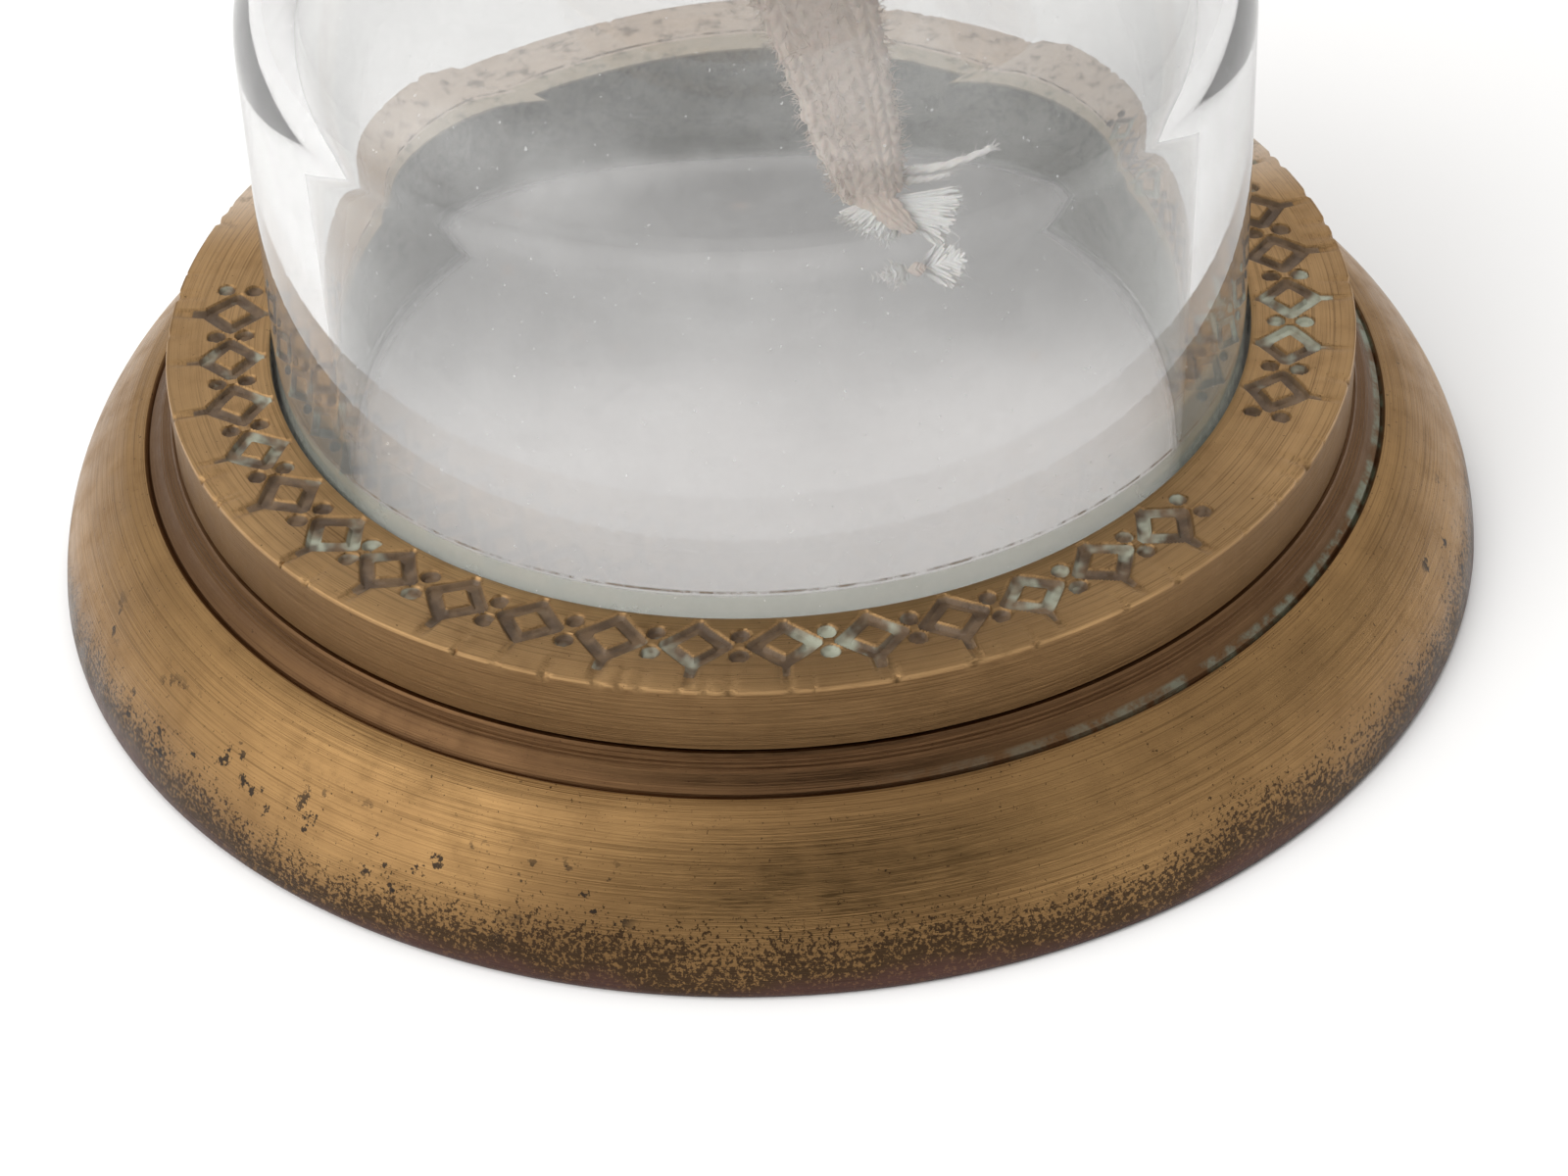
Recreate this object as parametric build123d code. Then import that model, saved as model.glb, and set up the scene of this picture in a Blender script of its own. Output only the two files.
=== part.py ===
from build123d import *
import math
import os

# Flat-wick spirit burner: a turned brass foot and name ring, a thick glass font, and a screw-in
# brass burner with a geared wick winder and a hinged snuffer. Millimetres, +Z up, and the origin
# is the middle of the underside. The wick's flat face looks along -Y.

# ---- driving dimensions ----
FOOT_R = 63.5            # a five-inch foot
FOOT_TOP = 16.2          # where the ring's shoulder sits on the foot
PAD_T = 1.5
PLATE_T = 1.5
RING_R = 52.0
RING_TOP = 22.5
SPIGOT_R = 45.6
SEAT_FLOOR = 7.6         # floor of the cup that the font stands in
BED_T = 1.0
FONT_R = 42.5
FONT_WALL = 4.7
FONT_FLOOR = 5.0
SHOULDER_START = 54.0    # top of the font's straight wall
SHOULDER_R = 11.0
SHOULDER_TURN = 74.0     # degrees from upright
NECK_R = 18.5
NECK_BORE_R = 15.2
NECK_TOP = 78.0
COLLAR_R = 21.3
COLLAR_TOP = 80.5
THREAD_R = 13.05
THREAD_PITCH = 1.3
WASHER_T = 0.8
DECK_R = 22.5
DECK_T = 2.2
DOME_R = 10.6
DOME_TOP = 87.0
TUBE_W = 12.3            # wick tube, outside
TUBE_D = 4.0
TUBE_WALL = 0.6
TUBE_FOOT = 78.0
TUBE_TOP = 104.0
WICK_W = 10.5
WICK_T = 2.2
WICK_TOP = 106.5
SPUR_TIP_R = 4.2
SPUR_ROOT_R = 3.3
SPUR_T = 1.2
SPUR_X = 3.0             # each spur wheel's distance from the middle of the wick
SPUR_TEETH = 14
SHAFT_R = 1.2
SHAFT_Z = 92.0
KNOB_R = 8.0
KNOB_X = 26.5
KNOB_T = 4.5
CAP_BORE_R = 10.5
CAP_WALL = 0.9
CAP_RIM = 98.6
CAP_SIDE_TOP = 109.0
CAP_TOP = 115.2
PIVOT_X = -18.5          # snuffer hinge, its axis along Y
PIVOT_Z = 97.0
PIN_R = 1.0
EAR_R = 2.6
EAR_GAP = 3.3
EAR_OUT = 3.0            # half the width over the two ears
FIT = 0.05               # clearance a side between parts that touch or run on each other
FONT_GAP = 0.4           # clearance a side around the font in its cup

# ---- heights and radii that follow ----
PLATE_TOP = PAD_T + PLATE_T
FONT_SEAT = SEAT_FLOOR + BED_T + FIT
DECK_SEAT = COLLAR_TOP + WASHER_T + FIT
DECK_TOP = DECK_SEAT + DECK_T
SHAFT_Y = -(WICK_T / 2 + 0.15 + SPUR_TIP_R)     # the teeth just miss the wick
CAP_R = CAP_BORE_R + CAP_WALL

# The wick's middle line: straight down the tube, then leaning over into the side of its knot.
WICK_ROUTE = [(0, 0, WICK_TOP), (0, 0, 71), (5.4, 0, 56), (10.4, 0, 32.5)]
KNOT = (13.6, 0, 30.8)
KNOT_RADII = (4.9, 3.8, 4.1)


def turned(*edges):
    """A solid turned about Z from the edges of its half section, drawn as (radius, height)."""
    return revolve(Plane.XZ * make_face(Curve() + list(edges)), Axis.Z)


def turned_points(*points):
    """A turned solid whose half section has straight sides."""
    return turned(Polyline(*points, close=True))


def disc(radius, low, high):
    return Pos(0, 0, low) * Cylinder(radius, high - low, align=(Align.CENTER, Align.CENTER, Align.MIN))


def block(x, y, z):
    """A box between two values along each axis."""
    size = [high - low for low, high in (x, y, z)]
    return Pos(x[0], y[0], z[0]) * Box(*size, align=(Align.MIN,) * 3)


def along_x(radius, low, high, y=SHAFT_Y, z=SHAFT_Z):
    """A round bar along X, on the winder's axis unless told otherwise."""
    return Pos((low + high) / 2, y, z) * Rot(0, 90, 0) * Cylinder(radius, high - low)


def along_y(radius, half, x=PIVOT_X, z=PIVOT_Z):
    """A round bar along Y, on the snuffer's hinge axis unless told otherwise."""
    return Pos(x, 0, z) * Rot(90, 0, 0) * Cylinder(radius, 2 * half)


def around(count, radius, start=0.0):
    """Places evenly round the Z axis."""
    return PolarLocations(radius, count, start_angle=start)


# ---- foot ----
RING_SCREW_AT = [4, 36.0, 45.0]      # count, pitch radius, first angle
PLATE_SCREW_AT = [3, 47.6, 90.0]
RING_SCREW = {"head_r": 2.9, "shank_r": 1.5, "low": PLATE_TOP + FIT, "top": SEAT_FLOOR - 0.3}
PLATE_SCREW = {"head_r": 2.2, "shank_r": 1.2, "low": PAD_T, "top": 10.0}
SHELF_TOP = SEAT_FLOOR - 2.4


def countersunk(head_r, shank_r, low, top, grow=0.0):
    """A countersunk screw pointing up with its head's face at low, or the hole for one."""
    cone_top = low + head_r - shank_r
    return turned_points((0, low), (head_r + grow, low), (shank_r + grow, cone_top),
                         (shank_r + grow, top + grow), (0, top + grow))


def screws(place, shape):
    """A ring of countersunk screws, each with its driver slot."""
    slot_depth = 0.6
    slot = block((-5, 5), (-0.35, 0.35), (shape["low"] - 1, shape["low"] + slot_depth))
    one = countersunk(**shape) - slot
    return Compound([spot * one for spot in around(*place)])


def screw_holes(place, shape):
    hole = countersunk(**shape, grow=FIT)
    return [spot * hole for spot in around(*place)]


def base_foot():
    """The turned flange: a convex moulding outside, hollow for the weight, with a shelf inside."""
    lip = (54.9, 13.75)
    groove = (54.6, 13.45)
    cove_foot = (54.4, 13.9)
    cove_top = (53.4, 15.0)
    rim = (FOOT_R - 0.6, 0)
    rim_in = FOOT_R - 2.5
    bore = SPIGOT_R + 0.1
    hub = 49.5
    floor = PLATE_TOP + FIT
    edges = [
        Line(rim, (FOOT_R, 0.6)),
        ThreePointArc((FOOT_R, 0.6), (61.55, 7.3), (56.6, 13.1)),
        Polyline((56.6, 13.1), lip, groove, cove_foot),
        ThreePointArc(cove_foot, (53.75, 14.3), cove_top),
        Polyline(cove_top, (52.3, FOOT_TOP), (bore, FOOT_TOP), (bore, SHELF_TOP), (30, SHELF_TOP),
                 (30, floor), (hub, floor), (hub, 8.3), (57.6, 8.3), (59.3, 6.5), (59.3, floor),
                 (rim_in, floor), (rim_in, 0), rim),
    ]
    foot = turned(*edges)
    foot -= screw_holes(PLATE_SCREW_AT, PLATE_SCREW)
    foot -= screw_holes(RING_SCREW_AT, RING_SCREW)
    return foot


def base_weight():
    """The iron ring inside the foot."""
    low = PLATE_TOP + 0.1
    return turned_points((49.7, low), (58.9, low), (58.9, 6.2), (57.2, 7.9), (49.7, 7.9))


def base_plate():
    plate = disc(FOOT_R - 2.7, PAD_T, PLATE_TOP)
    return plate - screw_holes(PLATE_SCREW_AT, PLATE_SCREW)


def baize_pad():
    return disc(FOOT_R - 2.7, 0, PAD_T)


def font_ring():
    """The flanged cup that the font stands in. Its flat top carries the border."""
    bore = FONT_R + FONT_GAP
    seat = FOOT_TOP + FIT
    low = SHELF_TOP + FIT
    cup = turned_points((0, low), (SPIGOT_R, low), (SPIGOT_R, seat), (RING_R, seat),
                        (RING_R, RING_TOP - 0.3), (RING_R - 0.3, RING_TOP), (bore + 0.3, RING_TOP),
                        (bore, RING_TOP - 0.3), (bore, SEAT_FLOOR), (0, SEAT_FLOOR))
    return cup - screw_holes(RING_SCREW_AT, RING_SCREW)


def seat_bed():
    """The pale plaster disc under the font."""
    return disc(FONT_R + 0.1, SEAT_FLOOR, SEAT_FLOOR + BED_T)


# ---- font ----
def shoulder(start, bend, neck_r):
    """The bend from the wall's top, the slope in to the neck, and where the neck starts."""
    turn = JernArc(start, (0, 1), bend, SHOULDER_TURN)
    end = turn @ 1
    neck = (neck_r, end.Y + (end.X - neck_r) * math.tan(math.radians(90 - SHOULDER_TURN)))
    return turn, Line(end, neck), neck


def font():
    """The glass vessel: straight thick walls, a low shoulder and a short neck."""
    inner_r = FONT_R - FONT_WALL
    floor = FONT_SEAT + FONT_FLOOR
    wall_top = (FONT_R, SHOULDER_START)
    inner_wall_top = (inner_r, SHOULDER_START - 0.5)
    bend, slope, neck = shoulder(wall_top, SHOULDER_R, NECK_R)
    inner_bend, inner_slope, inner_neck = shoulder(inner_wall_top, SHOULDER_R - 3, NECK_BORE_R)
    return turned(
        Polyline((0, FONT_SEAT), (FONT_R - 1, FONT_SEAT), (FONT_R, FONT_SEAT + 1), wall_top), bend, slope,
        Polyline(neck, (NECK_R, NECK_TOP), (NECK_BORE_R, NECK_TOP), inner_neck), inner_slope, inner_bend,
        Polyline(inner_wall_top, (inner_r, floor + 3), (inner_r - 3, floor), (0, floor), (0, FONT_SEAT)))


COLLAR_SKIRT_BORE = 19.65
COLLAR_FOOT = 72.0
COLLAR_WEB = NECK_TOP + 0.65         # underside of the collar's flat top
SLEEVE_BORE = THREAD_R + FIT
SLEEVE_R = 14.9


def neck_cement():
    """The plaster that holds the collar on the neck."""
    top = COLLAR_WEB - FIT
    low = COLLAR_FOOT + 0.3
    outer = COLLAR_SKIRT_BORE - FIT
    inner = SLEEVE_R + 0.1
    return turned_points((NECK_R + FIT, low), (outer, low), (outer, top), (inner, top),
                         (inner, NECK_TOP + FIT), (NECK_R + FIT, NECK_TOP + FIT))


def neck_collar():
    """The brass collar: a beaded skirt outside the neck and a threaded sleeve inside it."""
    bead_r = COLLAR_R + 0.6
    sleeve_foot = COLLAR_FOOT - 1.0
    return turned_points((COLLAR_SKIRT_BORE, COLLAR_FOOT), (21.0, COLLAR_FOOT), (bead_r, 72.6),
                         (bead_r, 73.6), (COLLAR_R, 74.2), (COLLAR_R, 76.6), (20.9, 77.0),
                         (COLLAR_R, 77.4), (COLLAR_R, 80.0), (20.8, COLLAR_TOP),
                         (SLEEVE_BORE, COLLAR_TOP), (SLEEVE_BORE, sleeve_foot), (SLEEVE_R, sleeve_foot),
                         (SLEEVE_R, COLLAR_WEB), (COLLAR_SKIRT_BORE, COLLAR_WEB))


def collar_washer():
    inner, outer = 15.5, COLLAR_R - 1.0
    top = COLLAR_TOP + WASHER_T
    return turned_points((inner, COLLAR_TOP), (outer, COLLAR_TOP), (outer, top), (inner, top))


# ---- burner ----
DECK_SCREWS = [(19.6, SHAFT_Y), (-19.0, 4.6), (-19.0, -4.6)]
BRACKET_T = 1.0


def deck_screw_hole(x, y):
    return Pos(x, y, 0) * disc(0.65 + FIT, DECK_TOP - 1.9, DECK_TOP + 2)


def tube_slot(low, high):
    """The hole that the wick tube passes through."""
    return Pos(0, 0, low) * extrude(RectangleRounded(TUBE_W + 0.1, TUBE_D + 0.1, 1.2), high - low)


def burner_base():
    """The screw plug, deck and dome. The plug has a ridged thread and the deck a milled edge."""
    foot = 72.6
    root = THREAD_R - 0.55
    ridges = []
    ridge = foot + 0.4
    while ridge + THREAD_PITCH < COLLAR_TOP:
        ridges += [(root, ridge), (THREAD_R, ridge + 0.45), (THREAD_R, ridge + 0.65)]
        ridge += THREAD_PITCH
    outline = [(10.5, foot), (root, foot)] + ridges
    outline += [(root, ridge), (root, DECK_SEAT), (DECK_R - 0.4, DECK_SEAT), (DECK_R, DECK_SEAT + 0.4),
                (DECK_R, DECK_TOP - 0.4), (DECK_R - 0.4, DECK_TOP), (16.2, DECK_TOP)]
    dome = ThreePointArc((16.2, DECK_TOP), (14.2, 86.0), (DOME_R, DOME_TOP))
    inside = Polyline((DOME_R, DOME_TOP), (0, DOME_TOP), (0, 84.6), (10.5, 84.6), (10.5, foot))
    base = turned(Polyline(*outline), dome, inside)
    base -= tube_slot(foot, DOME_TOP + 1)
    vent_hole = Pos(0, 19.2, 0) * disc(0.8, DECK_SEAT - 1, DECK_TOP + 1)
    base -= [vent_hole] + [deck_screw_hole(x, y) for x, y in DECK_SCREWS]
    notch = Pos(0, 0, DECK_SEAT - 1) * extrude(RegularPolygon(0.45, 4), DECK_T + 2)
    return base - [spot * notch for spot in around(72, DECK_R + 0.1)]


def wick_tube():
    """The flat tube, with a window for each spur wheel in its front wall."""
    height = TUBE_TOP - TUBE_FOOT
    outer = RectangleRounded(TUBE_W, TUBE_D, 1.2)
    inner = RectangleRounded(TUBE_W - 2 * TUBE_WALL, TUBE_D - 2 * TUBE_WALL, 0.8)
    tube = Pos(0, 0, TUBE_FOOT) * extrude(outer - inner, height)
    windows = [block((side * SPUR_X - 0.9, side * SPUR_X + 0.9), (-TUBE_D / 2 - 1, -1.0),
                     (SHAFT_Z - 2.9, SHAFT_Z + 2.9)) for side in (-1, 1)]
    return tube - windows


def spur_housing():
    """The sheet-brass box around the spur wheels. The shaft runs in its cheeks."""
    back = -TUBE_D / 2
    box = block((-5.0, 5.0), (-10.6, back), (DOME_TOP + 0.05, 97.4))
    box = fillet(box.edges().filter_by(Axis.X).sort_by(Axis.Y)[:2], 1.5)
    box -= block((-4.2, 4.2), (-9.85, back + 1), (87.55, 96.6))
    return box - along_x(SHAFT_R + FIT, -6, 6)


def cap_seat():
    """The disc soldered round the wick tube, which the snuffer's rim closes on."""
    low, top = 97.5, CAP_RIM - 0.1
    radius, edge = CAP_R + 0.4, 0.3
    seat = turned_points((0, low), (radius - edge, low), (radius, low + edge), (radius, top - edge),
                         (radius - edge, top), (0, top))
    return seat - tube_slot(low - 1, top + 1)


def shaft_post():
    """The angle bracket that carries the shaft near its knob."""
    inner, outer = 16.8, 18.2
    plate_top = DECK_TOP + BRACKET_T
    half = 2.4
    y = (SHAFT_Y - half, SHAFT_Y + half)
    post = block((inner, outer), y, (DECK_TOP, SHAFT_Z)) + along_x(half, inner, outer)
    post += block((inner, 20.6), y, (DECK_TOP, plate_top))
    post -= along_x(SHAFT_R + FIT, inner - 1, outer + 1)
    return post - deck_screw_hole(*DECK_SCREWS[0])


def hinge_bracket():
    """The forked post that the snuffer swings on."""
    plate = block((-21.2, -16.8), (-6, 6), (DECK_TOP, DECK_TOP + BRACKET_T))
    post = block((PIVOT_X - 1.6, PIVOT_X + 1.6), (-EAR_OUT, EAR_OUT), (DECK_TOP, PIVOT_Z))
    riser = post + along_y(EAR_R, EAR_OUT)
    slot = block((PIVOT_X - 5, PIVOT_X + 5), (-EAR_GAP / 2, EAR_GAP / 2), (PIVOT_Z - 3, PIVOT_Z + 5))
    bracket = plate + (riser - slot) - along_y(PIN_R + FIT, EAR_OUT + 1)
    return bracket - [deck_screw_hole(x, y) for x, y in DECK_SCREWS[1:]]


def deck_screws():
    """Three small cheese-head screws that hold the post and the bracket."""
    head = DECK_TOP + BRACKET_T
    screw = disc(0.65, DECK_TOP - 1.8, head) + disc(1.15, head, head + 0.8)
    screw -= block((-2, 2), (-0.2, 0.2), (head + 0.4, head + 1))
    return Compound([Pos(x, y, 0) * screw for x, y in DECK_SCREWS])


def hinge_pin():
    """A headed pin through the fork, peened at its other end."""
    proud = 0.4
    head_r, head_half_t = 1.6, 0.3
    pin = along_y(PIN_R, EAR_OUT + proud)
    head = Pos(0, -EAR_OUT - FIT - head_half_t, 0) * along_y(head_r, head_half_t)
    return pin + head


# ---- winder ----
def winder_shaft():
    return along_x(SHAFT_R, -5.8, 33.0)


def spur_wheels():
    """Two toothed wheels on the shaft, which feed the wick up and down."""
    step = 2 * math.pi / SPUR_TEETH
    points = []
    for tooth in range(SPUR_TEETH):
        for share, radius in ((0.0, SPUR_ROOT_R), (0.3, SPUR_ROOT_R), (0.55, SPUR_TIP_R), (0.75, SPUR_TIP_R)):
            angle = (tooth + share) * step
            points.append((radius * math.cos(angle), radius * math.sin(angle)))
    profile = make_face(Polyline(*points, close=True)) - Circle(SHAFT_R + 0.02)
    wheel = extrude(profile, SPUR_T)
    return Compound([Pos(side * SPUR_X - SPUR_T / 2, SHAFT_Y, SHAFT_Z) * Rot(0, 90, 0) * wheel
                     for side in (-1, 1)])


def winder_knob():
    """The milled disc, dished on its outer face, with a hub towards the burner."""
    top = KNOB_X + KNOB_T
    hub = KNOB_X - 2.5
    bore = SHAFT_R + 0.02
    section = make_face(Polyline((bore, hub), (3.0, hub), (3.4, KNOB_X), (KNOB_R - 0.4, KNOB_X),
                                 (KNOB_R, KNOB_X + 0.4), (KNOB_R, top - 0.4), (KNOB_R - 0.4, top),
                                 (6.4, top), (5.6, top - 0.9), (3.2, top - 0.9), (3.0, top), (bore, top),
                                 close=True))
    knob = revolve(Plane.XZ * section, Axis.Z)
    notch = Pos(0, 0, hub) * extrude(RegularPolygon(0.5, 4), KNOB_T + 5)
    knob -= [spot * notch for spot in around(40, KNOB_R + 0.12)]
    return Pos(0, SHAFT_Y, SHAFT_Z) * Rot(0, 90, 0) * knob


def knob_nut():
    """The hexagon cap nut that holds the knob on."""
    low = KNOB_X + KNOB_T + FIT
    nut = Pos(low, SHAFT_Y, SHAFT_Z) * Rot(0, 90, 0) * extrude(RegularPolygon(2.7, 6), 2.6)
    return nut - along_x(SHAFT_R + 0.02, low - 1, 33.05)


# ---- wick ----
def route_radii(points):
    """Each corner's bend: as large as its two runs allow."""
    radii = []
    for before, corner, after in zip(points, points[1:], points[2:]):
        run_in = Vector(*corner) - Vector(*before)
        run_out = Vector(*after) - Vector(*corner)
        turn = math.radians(run_in.get_angle(run_out))
        radii.append(0.45 * min(run_in.length, run_out.length) / math.tan(turn / 2))
    return radii


def wick():
    """The flat woven wick, from the flame end down to its knot."""
    radii = route_radii(WICK_ROUTE)
    print("wick bend radii", [round(radius, 1) for radius in radii])
    path = FilletPolyline(*WICK_ROUTE, radius=radii)
    section = Plane(origin=path @ 0, x_dir=(1, 0, 0), z_dir=path % 0)
    tape = sweep(section * RectangleRounded(WICK_W, WICK_T, 0.8), path=path)
    print("wick length", round(path.length, 1), "volume share",
          round(tape.volume / (path.length * RectangleRounded(WICK_W, WICK_T, 0.8).area), 3))
    return tape


def wick_knot():
    """The lump where the wick's end is tied in a knot."""
    return Pos(*KNOT) * scale(Sphere(1), by=KNOT_RADII)


def wick_tail():
    """The frayed cut end that stands out of the knot."""
    x, y, z = KNOT
    tail = extrude(RectangleRounded(3.4, 1.8, 0.7), 6.0, taper=8)
    return Pos(x + 3.4, y, z + 0.6) * Rot(0, 78, 0) * tail


# ---- snuffer ----
RIVET_Z = (101.0, 104.6)


def rivet_bar(radius, low, high, z):
    return along_x(radius, low, high, y=0, z=z)


def snuffer_cap():
    """The domed cap that closes over the flame end, with a flat boss for its finial."""
    boss_r = 3.4
    inner_top = CAP_TOP - CAP_WALL
    outline = [
        Polyline((CAP_BORE_R, CAP_RIM), (CAP_R + 0.5, CAP_RIM), (CAP_R + 0.5, CAP_RIM + 0.7), (CAP_R, CAP_RIM + 1.1),
                 (CAP_R, CAP_SIDE_TOP)),
        ThreePointArc((CAP_R, CAP_SIDE_TOP), (8.0, 112.6), (boss_r, 114.75)),
        Polyline((boss_r, 114.75), (boss_r, CAP_TOP), (0, CAP_TOP), (0, inner_top)),
        ThreePointArc((0, inner_top), (7.3, 112.0), (CAP_BORE_R, CAP_SIDE_TOP)),
        Line((CAP_BORE_R, CAP_SIDE_TOP), (CAP_BORE_R, CAP_RIM)),
    ]
    cap = turned(*outline)
    cap -= disc(1.05, inner_top - 1, CAP_TOP + 1)
    return cap - [rivet_bar(0.85, -CAP_R - 1, -CAP_BORE_R + 1, z) for z in RIVET_Z]


def cap_finial():
    """The turned button that lifts the cap, riveted through its crown."""
    ball = 2.5
    ball_z = 118.9
    neck_r = 1.4
    neck = (neck_r, ball_z - math.sqrt(ball**2 - neck_r**2))
    edges = [
        Polyline((0, 114.0), (1.0, 114.0), (1.0, CAP_TOP), (3.1, CAP_TOP), (3.1, 115.8), neck),
        ThreePointArc(neck, (ball, ball_z), (0, ball_z + ball)),
        Line((0, ball_z + ball), (0, 114.0)),
    ]
    return turned(*edges)


def snuffer_arm():
    """The eye, web and curved pad that join the cap to its hinge."""
    half = 1.5
    eye = along_y(2.4, half)
    web_points = [(-18.9, 99.35), (-17.3, 95.0), (-12.2, 99.9), (-12.2, 103.4)]
    web = extrude(Plane.XZ * make_face(Polyline(*web_points, close=True)), half, both=True)
    pad_in, pad_out = CAP_R + FIT, CAP_R + 1.0
    pad = turned_points((pad_in, 99.9), (pad_out, 99.9), (pad_out, 106.2), (pad_in, 106.2))
    pad &= block((-20, 0), (-3.2, 3.2), (95, 110))
    arm = eye + web + pad - along_y(PIN_R + FIT, half + 1)
    return arm - [rivet_bar(0.85, -15, -10, z) for z in RIVET_Z]


def arm_rivets():
    """Two rivets through the arm's pad and the cap's wall."""
    bodies = []
    for z in RIVET_Z:
        shank = rivet_bar(0.8, -CAP_R - 1.5, -CAP_BORE_R + 0.5, z)
        inside = rivet_bar(1.3, -CAP_BORE_R + 0.12, -CAP_BORE_R + 0.5, z)
        bodies.append(shank + inside)
    return Compound(bodies)


PARTS = {
    "base_foot": base_foot,
    "base_weight": base_weight,
    "base_plate": base_plate,
    "baize_pad": baize_pad,
    "font_ring": font_ring,
    "seat_bed": seat_bed,
    "font": font,
    "neck_cement": neck_cement,
    "neck_collar": neck_collar,
    "collar_washer": collar_washer,
    "burner_base": burner_base,
    "wick_tube": wick_tube,
    "spur_housing": spur_housing,
    "cap_seat": cap_seat,
    "shaft_post": shaft_post,
    "hinge_bracket": hinge_bracket,
    "deck_screws": deck_screws,
    "hinge_pin": hinge_pin,
    "winder_shaft": winder_shaft,
    "spur_wheels": spur_wheels,
    "winder_knob": winder_knob,
    "knob_nut": knob_nut,
    "wick": wick,
    "wick_knot": wick_knot,
    "wick_tail": wick_tail,
    "snuffer_cap": snuffer_cap,
    "cap_finial": cap_finial,
    "snuffer_arm": snuffer_arm,
    "arm_rivets": arm_rivets,
}

os.makedirs("parts", exist_ok=True)
for name, make in PARTS.items():
    export_step(make(), f"parts/{name}.step")
export_step(screws(RING_SCREW_AT, RING_SCREW), "parts/ring_screws.step")
export_step(screws(PLATE_SCREW_AT, PLATE_SCREW), "parts/plate_screws.step")
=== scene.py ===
import math
import random

import bmesh
import bpy
import numpy as np
from mathutils import Matrix, Vector


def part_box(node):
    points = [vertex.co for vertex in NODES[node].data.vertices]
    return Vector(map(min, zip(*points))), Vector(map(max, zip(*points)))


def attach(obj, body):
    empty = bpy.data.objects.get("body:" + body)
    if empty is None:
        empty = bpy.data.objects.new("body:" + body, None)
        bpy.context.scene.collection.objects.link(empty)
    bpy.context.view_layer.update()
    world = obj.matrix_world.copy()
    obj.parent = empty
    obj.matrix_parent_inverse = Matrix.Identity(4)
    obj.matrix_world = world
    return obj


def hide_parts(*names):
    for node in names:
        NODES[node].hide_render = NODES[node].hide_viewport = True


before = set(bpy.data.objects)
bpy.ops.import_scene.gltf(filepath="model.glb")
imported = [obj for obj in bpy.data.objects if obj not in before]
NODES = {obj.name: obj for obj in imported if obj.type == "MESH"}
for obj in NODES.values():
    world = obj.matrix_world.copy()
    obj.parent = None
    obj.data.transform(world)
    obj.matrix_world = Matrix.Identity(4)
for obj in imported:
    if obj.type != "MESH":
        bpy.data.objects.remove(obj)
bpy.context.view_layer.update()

MM = 0.001


# ---------------------------------------------------------------- sizes, from the frame, in mm
def low(node):
    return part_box(node)[0] / MM


def high(node):
    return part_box(node)[1] / MM


FOOT_R = high("base_foot").x
FOOT_TOP = high("base_foot").z
RING_R = high("font_ring").x
RING_TOP = high("font_ring").z
CUP_FLOOR = low("seat_bed").z
FONT_FOOT = low("font").z
FONT_R = 42.5
FONT_GAP = 0.4           # between the font and the ring's bore
SHOULDER_START = 54.0    # where the font's outside leaves its straight wall
NECK_TOP = high("font").z

ROUND = 288              # faces round a large turned piece
PHASE = 6.28             # about a full turn: the range of a random wave's start


# ---------------------------------------------------------------- camera, floor and light
CAMERA_AT = (0, -0.3078, 0.2382)
CAMERA_ANGLES = (0.2, -38.78, -2.53)       # yaw, pitch and roll, in degrees
LENS_MM = 98.1
SENSOR_MM = 36.0
LIGHTS_AIM = Vector((0, 0, 0.03))
FLOOR_SIZE = 6
FLOOR_WHITE = (0.93, 0.93, 0.93, 1)


def camera():
    """The photograph's view: from the front and above, tilted a little, with a long lens."""
    yaw, pitch, roll = (math.radians(angle) for angle in CAMERA_ANGLES)
    data = bpy.data.cameras.new("camera")
    data.sensor_width = SENSOR_MM
    data.lens = LENS_MM
    data.clip_start, data.clip_end = 0.01, 20
    cam = bpy.data.objects.new("camera", data)
    bpy.context.scene.collection.objects.link(cam)
    turn = Matrix.Rotation(-yaw, 4, "Z") @ Matrix.Rotation(math.radians(90) + pitch, 4, "X")
    cam.matrix_world = Matrix.Translation(CAMERA_AT) @ turn @ Matrix.Rotation(roll, 4, "Z")
    bpy.context.scene.camera = cam


def area_light(name, place, size, power):
    """A soft light for the table and the shadows. The reflections come from the world."""
    data = bpy.data.lights.new(name, "AREA")
    data.shape = "RECTANGLE"
    data.size, data.size_y = size
    data.energy = power
    light = bpy.data.objects.new(name, data)
    light.location = place
    light.rotation_euler = (LIGHTS_AIM - Vector(place)).to_track_quat("-Z", "Y").to_euler()
    light.visible_glossy = False
    light.visible_transmission = False
    bpy.context.scene.collection.objects.link(light)


# each zone: the way to its middle, the angles from there where it is full and where it ends, its value
TENT_STRENGTH = 0.30
TENT_COLOUR = (1.0, 0.985, 0.965, 1)
TENT = [
    ((0.0, 1.0, 0.7), 20, 85, 0.45),
    ((-0.76, -0.40, 0.52), 8, 46, 1.55),
    ((0.72, -0.48, 0.50), 8, 34, 0.58),
    ((0.00, -0.48, 0.88), 6, 30, 0.75),
]
DARK_FRONT = ((0.06, -0.87, 0.48), 22, 42, 0.99)


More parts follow.
